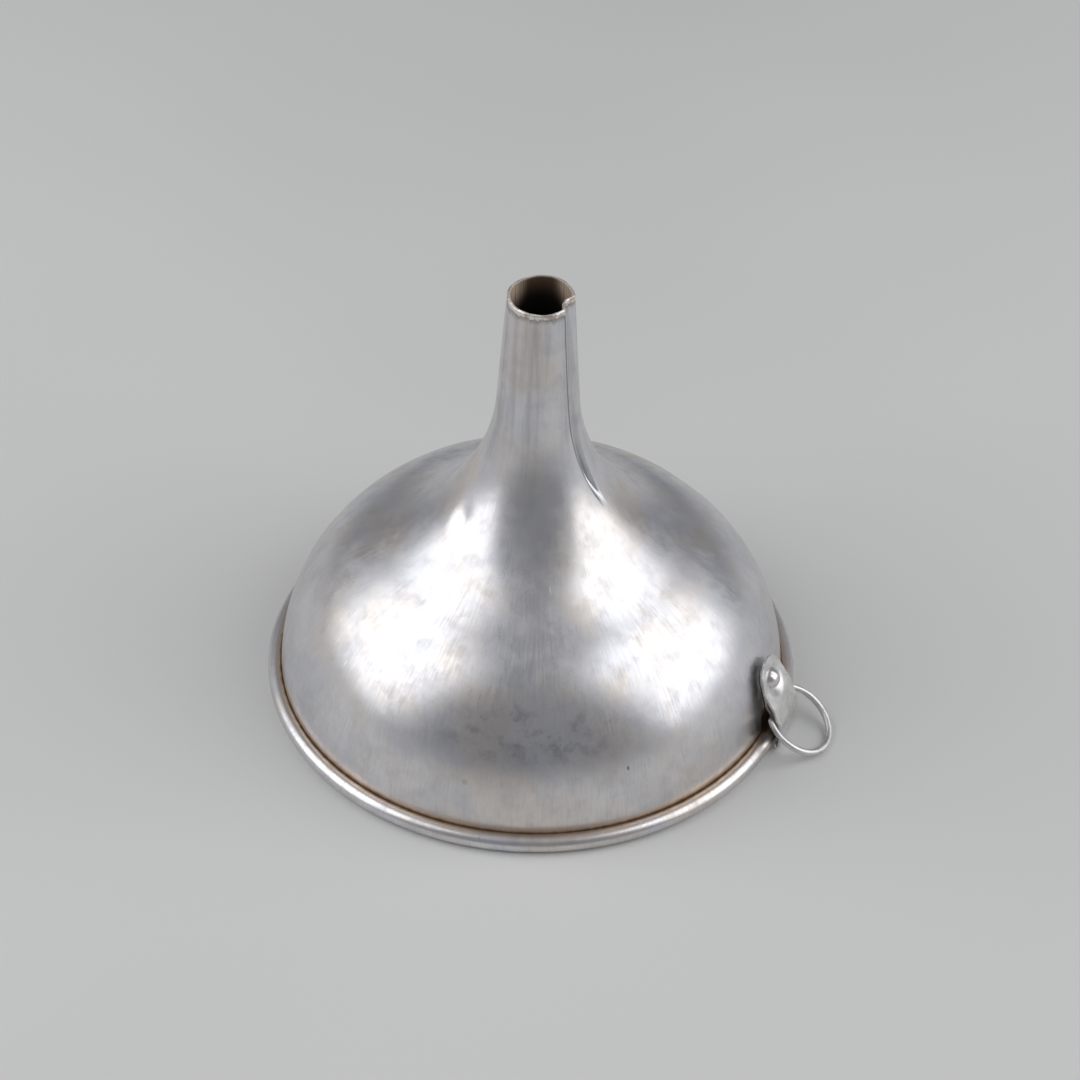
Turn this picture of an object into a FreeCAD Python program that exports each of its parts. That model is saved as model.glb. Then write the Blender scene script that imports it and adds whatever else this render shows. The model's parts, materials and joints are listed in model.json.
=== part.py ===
import FreeCAD, Part
import math
import os

from FreeCAD import Vector

# A small spun aluminium funnel, standing on its mouth with the spout up.
# Origin: centre of the mouth, on the plane that it stands on. +Z runs up the spout.
# The hanging lug is on the +X side. Millimetres and degrees.

# Shell
MOUTH_RADIUS = 57.15
HEIGHT = 99.5
SHEET = 0.9
DOME_RADIUS = 39.0
DOME_SWEEP = 62.8
SHOULDER_RADIUS = 45.5
TIP_RADIUS = 6.76

# Rolled bead round the mouth
BEAD_RADIUS = 1.9
BEAD_LAND_DEPTH = 0.06
CURL_END = 118.0

# Air groove pressed into the spout
GROOVE_RADIUS = 2.3
GROOVE_DEPTH = 1.15
GROOVE_AZIMUTH = -11.0
GROOVE_BEND_HEIGHT = 74.0
GROOVE_BEND_RADIUS = 38.0
GROOVE_BEND_SWEEP = 45.0

# Strap that holds the ring: points of its middle surface, (distance from the axis, height).
# It runs down the front leaf, round the hem, and up behind the ring to the rivet again.
STRAP_SHEET = 0.5
STRAP_PATH = [
    (51.8, 19.6),
    (54.2, 14.1),
    (56.4, 10.6),
    (58.05, 6.5),
    (58.4, 4.6),
    (58.2, 1.0),
    (57.48, 1.0),
    (57.44, 2.4),
    (56.0, 5.15),
    (53.98, 8.56),
    (53.01, 13.67),
    (50.49, 19.34),
]
STRAP_BENDS = [6.0, 6.0, 0.9, 2.0, 0.35, 0.35, 3.0, 3.0, 3.0, 38.0]
STRAP_HALF_WIDTH = 6.0
STRAP_HALF_WIDTH_AT_ARCH = 5.6
STRAP_ARCH_BASE = 13.0
STRAP_ARCH_TOP = 19.0
TONGUE_HALF_WIDTH = 2.7
HEM_END = (57.463, 1.6)

# Rivet, square to the bowl
RIVET_HEIGHT = 14.1
RIVET_HOLE_RADIUS = 1.5
RIVET_SHANK_CLEARANCE = 0.03
RIVET_HEAD_RADIUS = 2.35
RIVET_HEAD_HEIGHT = 1.7
RIVET_TAIL_RADIUS = 2.1
RIVET_TAIL_HEIGHT = 0.8
RIVET_TAIL_GAP = 0.1
SEAT_RADIUS = 2.6
SEAT_RIM_RADIUS = 4.2
SEAT_GAP = 0.6

# Ring: round wire, flattened where it runs through the strap
RING_RADIUS = 7.93
RING_WIRE_RADIUS = 0.63
RING_FLAT_DEPTH = 2.4
RING_CORNER_RADIUS = 1.3
RING_DROOP = 32.5
RING_TABLE_GAP = 0.05
HINGE_DISTANCE = 55.9

AXIS_Z = Vector(0, 0, 1)
AXIS_Y = Vector(0, 1, 0)
WELL_CLEAR = 20.0


def at(radius, height):
    """A point of the meridian plane through the lug."""
    return Vector(radius, 0, height)


def polar(centre, radius, angle):
    """The point at an angle in degrees on a circle of the meridian plane."""
    a = math.radians(angle)
    return at(centre.x + radius * math.cos(a), centre.z + radius * math.sin(a))


def arc(centre, radius, start, end):
    """An arc of the meridian plane from one angle to another."""
    middle = polar(centre, radius, (start + end) / 2)
    return Part.Arc(polar(centre, radius, start), middle, polar(centre, radius, end)).toShape()


def line(start, end):
    return Part.makeLine(start, end)


def turned(face):
    """The solid that a meridian face makes when it is turned about the funnel's axis."""
    return face.revolve(Vector(0, 0, 0), AXIS_Z, 360)


# Centres and angles that the shell's outline follows from
bead_centre = at(MOUTH_RADIUS - BEAD_RADIUS, BEAD_RADIUS - BEAD_LAND_DEPTH)
curl_hollow = BEAD_RADIUS - SHEET
dome_centre = at(bead_centre.x - curl_hollow - DOME_RADIUS, bead_centre.z)
shoulder_centre = polar(dome_centre, DOME_RADIUS + SHOULDER_RADIUS, DOME_SWEEP)
to_shoulder = shoulder_centre - at(TIP_RADIUS, HEIGHT)
spout_taper = math.degrees(
    math.atan2(to_shoulder.z, to_shoulder.x) + math.acos(SHOULDER_RADIUS / to_shoulder.Length)
)


def wall_edges(depth):
    """Spout, shoulder and dome of the surface that lies depth inside the outer one, from the tip to the bead."""
    foot = polar(shoulder_centre, -(SHOULDER_RADIUS + depth), spout_taper)
    rise = HEIGHT - foot.z
    tip = at(foot.x - rise * math.tan(math.radians(spout_taper)), HEIGHT)
    shoulder = arc(shoulder_centre, SHOULDER_RADIUS + depth, 180 + spout_taper, 180 + DOME_SWEEP)
    dome = arc(dome_centre, DOME_RADIUS - depth, DOME_SWEEP, 0)
    return tip, [line(tip, foot), shoulder, dome]


def make_shell():
    """Bowl, spout and rolled bead: one sheet, turned about the axis."""
    outer_tip, outer = wall_edges(0)
    inner_tip, inner = wall_edges(SHEET)
    land = math.degrees(math.acos(bead_centre.z / BEAD_RADIUS))
    curl = [
        arc(bead_centre, curl_hollow, -180, CURL_END),
        line(polar(bead_centre, curl_hollow, CURL_END), polar(bead_centre, BEAD_RADIUS, CURL_END)),
        arc(bead_centre, BEAD_RADIUS, CURL_END, -90 + land),
        line(polar(bead_centre, BEAD_RADIUS, -90 + land), polar(bead_centre, BEAD_RADIUS, -90 - land)),
        arc(bead_centre, BEAD_RADIUS, -90 - land, -180),
    ]
    edges = outer + curl + inner + [line(inner_tip, outer_tip)]
    return turned(Part.Face(Part.Wire(Part.__sortEdges__(edges))))


def make_hollow():
    """The space inside the shell, from the bead's level to the tip."""
    inner_tip, inner = wall_edges(SHEET)
    foot = at(dome_centre.x + DOME_RADIUS - SHEET, dome_centre.z)
    ends = [line(at(0, HEIGHT), inner_tip), line(foot, at(0, foot.z)), line(at(0, foot.z), at(0, HEIGHT))]
    return turned(Part.Face(Part.Wire(Part.__sortEdges__(inner + ends))))


def make_groove_tool(radius):
    """A round bar laid along the spout, which bends away from the shoulder so that the groove fades out."""
    lift = GROOVE_RADIUS - GROOVE_DEPTH
    foot = polar(shoulder_centre, -(SHOULDER_RADIUS - lift), spout_taper)
    slope = math.tan(math.radians(spout_taper))
    bend_start = at(foot.x - (GROOVE_BEND_HEIGHT - foot.z) * slope, GROOVE_BEND_HEIGHT)
    bend_centre = polar(bend_start, GROOVE_BEND_RADIUS, spout_taper)
    top = at(bend_start.x - WELL_CLEAR * 2 * slope, bend_start.z + WELL_CLEAR * 2)
    along = bend_start - top
    straight = Part.makeCylinder(radius, along.Length, top, along)
    section = Part.Face(Part.Wire(Part.makeCircle(radius, bend_start, along)))
    bend = section.revolve(bend_centre, AXIS_Y, -GROOVE_BEND_SWEEP)
    tool = straight.fuse(bend)
    tool.rotate(Vector(0, 0, 0), AXIS_Z, GROOVE_AZIMUTH)
    return tool


# The rivet's own line: where the strap's seat meets the bowl, and the direction square to the bowl there
rivet_tilt = math.degrees(math.asin((RIVET_HEIGHT - dome_centre.z) / DOME_RADIUS))
rivet_foot = polar(dome_centre, DOME_RADIUS, rivet_tilt)
rivet_line = (rivet_foot - dome_centre).normalize()


def on_rivet(height):
    """The point on the rivet's line at a height above the bowl's outer face."""
    return rivet_foot + rivet_line * height


def rivet_cylinder(radius, low, high):
    return Part.makeCylinder(radius, high - low, on_rivet(low), rivet_line)


def rivet_cone(low_radius, high_radius, low, high):
    return Part.makeCone(low_radius, high_radius, high - low, on_rivet(low), rivet_line)


def make_funnel_body():
    """The shell with the air groove pressed in, as much inside as outside, and the rivet's hole."""
    ridge = make_groove_tool(GROOVE_RADIUS + SHEET).common(make_hollow())
    body = make_shell().fuse(ridge).cut(make_groove_tool(GROOVE_RADIUS))
    return body.cut(rivet_cylinder(RIVET_HOLE_RADIUS, -WELL_CLEAR / 4, WELL_CLEAR / 4))


def unit(start, end):
    length = math.hypot(end[0] - start[0], end[1] - start[1])
    return (end[0] - start[0]) / length, (end[1] - start[1]) / length


def beside(points, distance):
    """The polyline that runs at a distance to the left of another, with its corners mitred."""
    ways = [unit(a, b) for a, b in zip(points, points[1:])]
    moved = []
    for i, (x, z) in enumerate(points):
        before = ways[max(i - 1, 0)]
        after = ways[min(i, len(ways) - 1)]
        nx, nz = -before[1] - after[1], before[0] + after[0]
        scale = 2 * distance / (nx * nx + nz * nz)
        moved.append((x + nx * scale, z + nz * scale))
    return moved


def rounded(points, radii):
    """Lines and arcs along a polyline, each inner corner rounded to its radius."""
    edges = []
    last = at(*points[0])
    for before, corner, after, radius in zip(points, points[1:], points[2:], radii):
        into, out = unit(before, corner), unit(corner, after)
        half_turn = math.acos(max(-1.0, min(1.0, into[0] * out[0] + into[1] * out[1]))) / 2
        reach = radius * math.tan(half_turn)
        start = at(corner[0] - into[0] * reach, corner[1] - into[1] * reach)
        end = at(corner[0] + out[0] * reach, corner[1] + out[1] * reach)
        inward = Vector(out[0] - into[0], 0, out[1] - into[1]).normalize()
        middle = at(*corner) + inward * (radius / math.cos(half_turn) - radius)
        edges += [line(last, start), Part.Arc(start, middle, end).toShape()]
        last = end
    return edges + [line(last, at(*points[-1]))]


def turn_sign(before, corner, after):
    """+1 where a path turns left at a corner, -1 where it turns right."""
    into, out = unit(before, corner), unit(corner, after)
    return 1 if into[0] * out[1] - into[1] * out[0] > 0 else -1


def make_strap_sheet(path):
    """One bent sheet of the strap's full width along a path."""
    half = STRAP_SHEET / 2
    signs = [turn_sign(*trio) for trio in zip(path, path[1:], path[2:])]
    left_radii = [r - s * half for r, s in zip(STRAP_BENDS, signs)]
    right_radii = [r + s * half for r, s in zip(STRAP_BENDS, signs)]
    left, right = beside(path, half), beside(path, -half)
    ends = [line(at(*left[0]), at(*right[0])), line(at(*left[-1]), at(*right[-1]))]
    edges = rounded(left, left_radii) + rounded(right, right_radii) + ends
    face = Part.Face(Part.Wire(Part.__sortEdges__(edges)))
    face.translate(Vector(0, -STRAP_HALF_WIDTH, 0))
    return face.extrude(AXIS_Y * 2 * STRAP_HALF_WIDTH)


def make_strap_outline():
    """A block with the strap's front outline: nearly straight sides and a round arch over the rivet."""
    x = MOUTH_RADIUS - WELL_CLEAR
    base = [Vector(x, -STRAP_HALF_WIDTH, 0), Vector(x, STRAP_HALF_WIDTH, 0)]
    arch = [
        Vector(x, STRAP_HALF_WIDTH_AT_ARCH, STRAP_ARCH_BASE),
        Vector(x, 0, STRAP_ARCH_TOP),
        Vector(x, -STRAP_HALF_WIDTH_AT_ARCH, STRAP_ARCH_BASE),
    ]
    edges = [line(base[0], base[1]), line(base[1], arch[0]), Part.Arc(*arch).toShape(), line(arch[2], base[0])]
    return Part.Face(Part.Wire(edges)).extrude(Vector(2 * WELL_CLEAR, 0, 0))


def make_behind_strap():
    """The block of space behind the strap's leaf, up to the leaf's outer face."""
    face_points = beside(STRAP_PATH, STRAP_SHEET / 2)[:4]
    back = MOUTH_RADIUS - WELL_CLEAR
    corners = [at(x, z) for x, z in face_points]
    corners += [at(back, face_points[-1][1]), at(back, face_points[0][1]), corners[0]]
    face = Part.Face(Part.makePolygon(corners))
    face.translate(Vector(0, -STRAP_HALF_WIDTH, 0))
    return face.extrude(AXIS_Y * 2 * STRAP_HALF_WIDTH)


def make_tongue_outline():
    """A block with the rear leaf's outline: a narrow tongue with a round end over the rivet."""
    x = MOUTH_RADIUS - WELL_CLEAR
    corners = [Vector(x, -TONGUE_HALF_WIDTH, 0), Vector(x, TONGUE_HALF_WIDTH, 0)]
    shoulders = [Vector(x, way * TONGUE_HALF_WIDTH, RIVET_HEIGHT) for way in (1, -1)]
    end = Part.Arc(shoulders[0], Vector(x, 0, RIVET_HEIGHT + TONGUE_HALF_WIDTH), shoulders[1]).toShape()
    edges = [line(*corners), line(corners[1], shoulders[0]), end, line(shoulders[1], corners[0])]
    return Part.Face(Part.Wire(edges)).extrude(Vector(2 * WELL_CLEAR, 0, 0))


def make_ring_lug():
    """The folded strap: the front leaf dished round the rivet, the rear leaf a narrower tongue under it."""
    rise = WELL_CLEAR / 4
    spread = (SEAT_RIM_RADIUS - SEAT_RADIUS) * rise / 2
    dish_outside = rivet_cone(SEAT_RADIUS + STRAP_SHEET, SEAT_RADIUS + STRAP_SHEET + spread, SEAT_GAP, SEAT_GAP + rise)
    floor = SEAT_GAP + STRAP_SHEET
    dish_inside = rivet_cone(SEAT_RADIUS, SEAT_RADIUS + spread, floor, floor + rise)
    front = make_strap_sheet(STRAP_PATH[:7] + [HEM_END]).common(make_strap_outline())
    strap = front.fuse(make_strap_sheet(STRAP_PATH).common(make_tongue_outline()))
    strap = strap.fuse(dish_outside.common(make_behind_strap())).cut(dish_inside)
    return strap.cut(rivet_cylinder(RIVET_HOLE_RADIUS, -WELL_CLEAR / 4, WELL_CLEAR / 4))


def make_lug_rivet():
    """Domed head outside, shank through strap and wall, upset tail inside."""
    seat = SEAT_GAP + STRAP_SHEET
    tail_face = -(SHEET + RIVET_TAIL_GAP)
    shank = rivet_cylinder(RIVET_HOLE_RADIUS - RIVET_SHANK_CLEARANCE, tail_face, seat)
    ball_radius = (RIVET_HEAD_RADIUS**2 + RIVET_HEAD_HEIGHT**2) / (2 * RIVET_HEAD_HEIGHT)
    ball = Part.makeSphere(ball_radius, on_rivet(seat + RIVET_HEAD_HEIGHT - ball_radius))
    head = ball.common(rivet_cylinder(RIVET_HEAD_RADIUS, seat, seat + RIVET_HEAD_HEIGHT))
    tail = rivet_cylinder(RIVET_TAIL_RADIUS, tail_face - RIVET_TAIL_HEIGHT, tail_face)
    return head.fuse([shank, tail])


def bent_wire(centre, start, sweep):
    """A round wire bent about a vertical line through a centre, starting at a point."""
    way = AXIS_Z.cross(start - centre)
    section = Part.Face(Part.Wire(Part.makeCircle(RING_WIRE_RADIUS, start, way)))
    return section.revolve(centre, AXIS_Z, sweep)


def make_hanging_ring():
    """A wire circle with one side flattened into a straight bar, which is the hinge pin in the strap."""
    ring_centre = Vector(RING_RADIUS - RING_FLAT_DEPTH, 0, 0)
    reach = RING_RADIUS - RING_CORNER_RADIUS
    corner = Vector(RING_CORNER_RADIUS, math.sqrt(reach**2 - (ring_centre.x - RING_CORNER_RADIUS) ** 2), 0)
    bar = Part.makeCylinder(RING_WIRE_RADIUS, 2 * corner.y, Vector(0, -corner.y, 0), AXIS_Y)
    bend = math.degrees(math.atan2(corner.y, ring_centre.x - corner.x))
    first = bent_wire(corner, Vector(0, corner.y, 0), -bend)
    joint = ring_centre + (corner - ring_centre).normalize() * RING_RADIUS
    main = bent_wire(ring_centre, joint, -2 * (180 - bend))
    second = first.mirror(Vector(0, 0, 0), AXIS_Y)
    ring = bar.fuse([first, main, second])
    ring.rotate(Vector(0, 0, 0), AXIS_Y, RING_DROOP)
    drop = (2 * RING_RADIUS - RING_FLAT_DEPTH) * math.sin(math.radians(RING_DROOP))
    ring.translate(at(HINGE_DISTANCE, RING_TABLE_GAP + RING_WIRE_RADIUS + drop))
    return ring


PARTS = {
    "funnel_body": make_funnel_body,
    "ring_lug": make_ring_lug,
    "lug_rivet": make_lug_rivet,
    "hanging_ring": make_hanging_ring,
}

os.makedirs("parts", exist_ok=True)
for name, make in PARTS.items():
    shape = make().removeSplitter()
    print(name, shape.isValid(), len(shape.Solids), round(shape.Volume, 2), shape.BoundBox)
    shape.exportStep(f"parts/{name}.step")
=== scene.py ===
import json
import math

import bpy
import numpy as np
from mathutils import Matrix, Vector


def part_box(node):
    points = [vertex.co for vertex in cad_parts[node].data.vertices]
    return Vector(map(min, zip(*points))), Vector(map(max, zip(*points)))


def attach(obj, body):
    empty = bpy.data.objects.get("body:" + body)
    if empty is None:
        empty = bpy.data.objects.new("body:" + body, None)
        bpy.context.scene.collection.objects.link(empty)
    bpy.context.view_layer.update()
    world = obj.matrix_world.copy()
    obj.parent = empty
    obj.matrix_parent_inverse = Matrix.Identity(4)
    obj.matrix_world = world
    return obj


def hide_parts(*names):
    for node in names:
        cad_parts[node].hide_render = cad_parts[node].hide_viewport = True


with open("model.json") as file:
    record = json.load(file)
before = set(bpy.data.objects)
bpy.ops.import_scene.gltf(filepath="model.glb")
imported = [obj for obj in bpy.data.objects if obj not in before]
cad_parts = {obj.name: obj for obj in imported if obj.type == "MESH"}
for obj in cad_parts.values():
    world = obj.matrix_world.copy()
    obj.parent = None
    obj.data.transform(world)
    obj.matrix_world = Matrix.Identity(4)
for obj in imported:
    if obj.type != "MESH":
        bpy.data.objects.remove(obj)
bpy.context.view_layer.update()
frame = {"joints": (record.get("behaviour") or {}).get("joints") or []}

# A small aged aluminium funnel standing on its mouth, with a riveted strap and a wire hanging ring.
# Shapes are worked out in millimetres and degrees, and stored in metres in the CAD frame.
# A section is a set of (distance from the axis, height) points. Angles about the axis start at +X.

MM = 0.001

# What the frame gives
body_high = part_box("funnel_body")[1]
ring_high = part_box("hanging_ring")[1]
MOUTH_RADIUS = max(body_high.x, body_high.y) / MM
HEIGHT = body_high.z / MM
hinge = Vector(frame["joints"][0]["pos_m"]) / MM

# Shell, as in the CAD
SHEET = 0.9
DOME_RADIUS = 39.0
DOME_SWEEP = 62.8
SHOULDER_RADIUS = 45.5
TIP_RADIUS = 6.76
BEAD_RADIUS = 1.9
BEAD_HEIGHT = 1.84
CURL_END = 118.0
CURL_HOLLOW = BEAD_RADIUS - SHEET

# Air groove down the spout: (height, angle) of its sharp edge, then its cross-section
GROOVE_LINE = [(99.5, -25.0), (80.0, -23.3), (68.0, -20.0), (60.0, -15.0), (53.0, -9.5)]
GROOVE_DEPTH = 1.3
GROOVE_WIDTH = 5.9
GROOVE_FOOT_WIDTH = 1.7
GROOVE_FLANK_SHARE = 0.36
GROOVE_FLANK_POWER = 1.7
GROOVE_FLOOR_SHARE = 0.56
GROOVE_FADE = (51.5, 61.0)
# Dirt and painted shade along the groove's sharp edge: where it lies, its reach before and past the
# edge, and the height over which it sets in
EDGE_DIRT_AND_SHADE_AT = -0.02
EDGE_DIRT_AND_SHADE_REACH = (0.21, 0.45)
EDGE_DIRT_AND_SHADE_FADE = 4

# Lip of the spout: worn thin and round, with a slight burr outside. A reach is a distance below the tip
LIP_BURR = 0.05
LIP_BURR_REACH = (1.5, 0.4)
LIP_THINNING = 0.30
LIP_FLARE_REACH = 5
LIP_LIFT_REACH = 2.5
LIP_CROWN = 0.22
CURL_EDGE_BULGE = 0.22

# Unevenness of the sheet's ends: (times round, size, angle of a crest)
LIP_LIFT_WAVES = [(2, 0.10, 40), (3, 0.07, -30), (7, 0.035, 11), (13, 0.02, 5)]
LIP_FLARE_WAVES = [(2, 0.09, -70), (5, 0.05, 20)]
LIP_BURR_WAVES = [(6, 0.03, 15), (11, 0.02, -20)]
CURL_EDGE_WAVES = [(9, 0.03, 0), (17, 0.02, 40), (31, 0.015, 9)]

# Dents: angle, height, half size across, half size along, depth
DENTS = [
    (-131.0, 78.8, 1.0, 1.3, 0.34),
    (-131.0, 81.6, 1.0, 1.6, -0.12),
    (-2.0, 76.5, 0.7, 1.0, 0.22),
    (-128.0, 49.2, 2.0, 2.2, 0.32),
    (-133.0, 47.2, 2.4, 1.6, -0.16),
    (-60.0, 97.6, 1.3, 1.2, 0.10),
    (-96.0, 97.0, 1.2, 1.2, 0.09),
    (62.0, 30.0, 5.0, 4.0, 0.25),
    (150.0, 41.0, 3.5, 3.0, 0.22),
    (-170.0, 18.0, 5.0, 3.5, 0.20),
]

# Points along each stretch of the section, and turns about the axis as (start, end, step)
LIP_SHARE = 0.08
LIP_POINTS = 14
SPOUT_POINTS = 42
SHOULDER_POINTS = 64
DOME_POINTS = 52
CURL_POINTS = 48
EDGE_POINTS = 12
TURNS = [(-30.0, -4.0, 0.2), (-4.0, 30.0, 0.5), (30.0, 330.0, 1.2)]


def fade(value, low, high):
    """0 at low, 1 at high, smooth between."""
    t = np.clip((value - low) / (high - low), 0, 1)
    return t * t * (3 - 2 * t)


def polar(centre, radius, degrees):
    """Points at angles on a circle in the section's plane, as rows."""
    a = np.radians(np.atleast_1d(degrees))
    return np.stack([centre[0] + radius * np.cos(a), centre[1] + radius * np.sin(a)], axis=1)


def directions(degrees):
    """Unit vectors at angles in the section's plane, as rows."""
    return polar((0, 0), 1, degrees)


def add_mesh(name, vertices, faces, material):
    """A smooth-shaded mesh object from points in millimetres."""
    mesh = bpy.data.meshes.new(name)
    mesh.from_pydata((np.asarray(vertices) * MM).tolist(), [], np.asarray(faces).tolist())
    mesh.polygons.foreach_set("use_smooth", [True] * len(mesh.polygons))
    mesh.validate()
    mesh.materials.append(material)
    piece = bpy.data.objects.new(name, mesh)
    bpy.context.scene.collection.objects.link(piece)
    return piece


def grid_faces(rows, columns, closed):
    """Quads of a grid of points stored row by row. A closed grid is joined end to end both ways."""
    i, j = np.arange(rows), np.arange(columns)
    if not closed:
        i, j = i[:-1], j[:-1]
    i, j = np.meshgrid(i, j, indexing="ij")
    following_i, following_j = (i + 1) % rows, (j + 1) % columns
    corners = [i * columns + j, i * columns + following_j,
               following_i * columns + following_j, following_i * columns + j]
    return np.stack([c.ravel() for c in corners], axis=1)


def set_attribute(piece, name, values):
    """A number on each point of a mesh, for its material to read."""
    attribute = piece.data.attributes.new(name, "FLOAT", "POINT")
    attribute.data.foreach_set("value", np.asarray(values, np.float32).ravel())


# ---------------------------------------------------------------- the shell

bead_centre = (MOUTH_RADIUS - BEAD_RADIUS, BEAD_HEIGHT)
dome_centre = (bead_centre[0] - CURL_HOLLOW - DOME_RADIUS, BEAD_HEIGHT)
shoulder_centre = polar(dome_centre, DOME_RADIUS + SHOULDER_RADIUS, DOME_SWEEP)[0]
to_shoulder = shoulder_centre - np.array([TIP_RADIUS, HEIGHT])
spout_taper = math.degrees(
    math.atan2(to_shoulder[1], to_shoulder[0]) + math.acos(SHOULDER_RADIUS / np.hypot(*to_shoulder)))


def wall_section():
    """The outer face from the tip to the bead: its points and outward normals."""
    foot = polar(shoulder_centre, SHOULDER_RADIUS, 180 + spout_taper)
    along = np.concatenate([np.linspace(0, LIP_SHARE, LIP_POINTS),
                            np.linspace(LIP_SHARE, 1, SPOUT_POINTS)[1:]])[:, None]
    spout = np.array([TIP_RADIUS, HEIGHT]) * (1 - along) + foot * along
    shoulder_angles = np.linspace(180 + spout_taper, 180 + DOME_SWEEP, SHOULDER_POINTS)[1:]
    dome_angles = np.linspace(DOME_SWEEP, 0, DOME_POINTS)[1:]
    points = [spout, polar(shoulder_centre, SHOULDER_RADIUS, shoulder_angles),
              polar(dome_centre, DOME_RADIUS, dome_angles)]
    normals = [np.repeat(directions(spout_taper), len(spout), axis=0),
               -directions(shoulder_angles), directions(dome_angles)]
    return np.concatenate(points), np.concatenate(normals)


def groove_offset(angle, distance, height):
    """Millimetres round the wall from the groove's sharp edge, and the groove's width there."""
    line = np.polyfit([h for h, a in GROOVE_LINE], [a for h, a in GROOVE_LINE], 3)
    offset = (angle - np.polyval(line, height) + 180) % 360 - 180
    low, high = GROOVE_LINE[-1][0], GROOVE_LINE[0][0]
    width = np.interp(height, [low, high], [GROOVE_FOOT_WIDTH, GROOVE_WIDTH])
    return np.radians(offset) * distance, width


def groove_at(angle, distance, height):
    """Depth of the groove: a flank that falls from a sharp edge, a floor, and an easy slope back."""
    across, width = groove_offset(angle, distance, height)
    flank = 1 - (1 - np.clip(across / (width * GROOVE_FLANK_SHARE), 0, 1)) ** GROOVE_FLANK_POWER
    back = 1 - fade(across, width * GROOVE_FLOOR_SHARE, width)
    return GROOVE_DEPTH * flank * back * fade(height, *GROOVE_FADE)


def dents_at(angle, distance, height):
    """Depth of all the dents together."""
    depth = 0
    for centre, level, across, along, deep in DENTS:
        offset = (angle - centre + 180) % 360 - 180
        sideways = np.radians(offset) * distance / across
        depth = depth + deep * np.exp(-sideways**2 - ((height - level) / along) ** 2)
    return depth


def waves(angle, terms):
    """A sum of cosines: (times round, size, angle of a crest)."""
    return sum(size * np.cos(np.radians(count * (angle - crest))) for count, size, crest in terms)


def carry_round(points, normals, press, lift, flare):
    """Distances and heights of a section at every turn, pressed in along its normals and moved."""
    return (points[:, :1] - normals[:, :1] * press + flare,
            points[:, 1:] - normals[:, 1:] * press + lift)


def make_shell(material):
    """Bowl, spout and rolled bead: one sheet, its section carried round the axis, pressed and dented."""
    wall, wall_normals = wall_section()
    curl_angles = np.linspace(-180, CURL_END, CURL_POINTS)[1:]
    curl = polar(bead_centre, CURL_HOLLOW, curl_angles)
    face = np.concatenate([wall, curl])
    normals = np.concatenate([wall_normals, -directions(curl_angles)])
    on_wall = np.concatenate([np.ones(len(wall)), np.zeros(len(curl))])

    angle = np.concatenate([np.arange(*turn) for turn in TURNS])[None, :]
    distance, height = face[:, :1], face[:, 1:]

    def near_lip(reach, full_reach=0):
        return on_wall[:, None] * fade(height, HEIGHT - reach, HEIGHT - full_reach)

    press = on_wall[:, None] * (groove_at(angle, distance, height) + dents_at(angle, distance, height))
    lift = waves(angle, LIP_LIFT_WAVES) * near_lip(LIP_LIFT_REACH)
    flare = waves(angle, LIP_FLARE_WAVES) * near_lip(LIP_FLARE_REACH)
    burr = (LIP_BURR + waves(angle, LIP_BURR_WAVES)) * near_lip(*LIP_BURR_REACH)
    thinning = LIP_THINNING * near_lip(LIP_FLARE_REACH)
    outer = carry_round(face, normals, press, lift, flare + burr)
    inner = carry_round(face - SHEET * normals, normals, press, lift, flare + thinning)

    # the free edge of the curl and the lip of the spout are slightly rounded ends of the sheet
    through = np.linspace(0, 1, EDGE_POINTS)[1:-1, None]
    bulge = 1 - (2 * through - 1) ** 4
    end_way = directions(CURL_END + 90)[0]
    edge_size = CURL_EDGE_BULGE + waves(angle, CURL_EDGE_WAVES)
    curl_edge = [outer[k][-1] * (1 - through) + inner[k][-1] * through + end_way[k] * edge_size * bulge
                 for k in (0, 1)]
    lip_edge = [inner[k][0] * (1 - through) + outer[k][0] * through for k in (0, 1)]
    lip_edge[1] = lip_edge[1] + LIP_CROWN * (1 - (2 * through - 1) ** 2)

    # nothing goes below the plane that the bead rests on
    r = np.concatenate([outer[0], curl_edge[0], inner[0][::-1], lip_edge[0]])
    z = np.maximum(np.concatenate([outer[1], curl_edge[1], inner[1][::-1], lip_edge[1]]), 0)
    turn = np.radians(angle)
    vertices = np.stack([r * np.cos(turn), r * np.sin(turn), z], axis=-1)
    shell = add_mesh("funnel_shell", vertices.reshape(-1, 3), grid_faces(*r.shape, True), material)

    # 1 on the inner wall, 0 on the outer wall and the curl, and in between on the lip
    inside = np.concatenate([np.zeros(len(face) + len(through)), on_wall[::-1],
                             np.linspace(1, 0, len(through))])[:, None]
    set_attribute(shell, "inside", np.repeat(inside, r.shape[1], axis=1))

    # dirt and painted shade lie along the groove's sharp edge and fade on the flank
    across, width = groove_offset(angle, r, z)
    spread = np.where(across < EDGE_DIRT_AND_SHADE_AT, EDGE_DIRT_AND_SHADE_REACH[0], EDGE_DIRT_AND_SHADE_REACH[1])
    pocket = np.exp(-((across - EDGE_DIRT_AND_SHADE_AT) / spread) ** 2)
    pocket = pocket * fade(z, GROOVE_FADE[0], GROOVE_FADE[0] + EDGE_DIRT_AND_SHADE_FADE)
    set_attribute(shell, "groove_dirt_and_shade", pocket * (1 - inside))
    return shell


# ---------------------------------------------------------------- the strap

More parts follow.
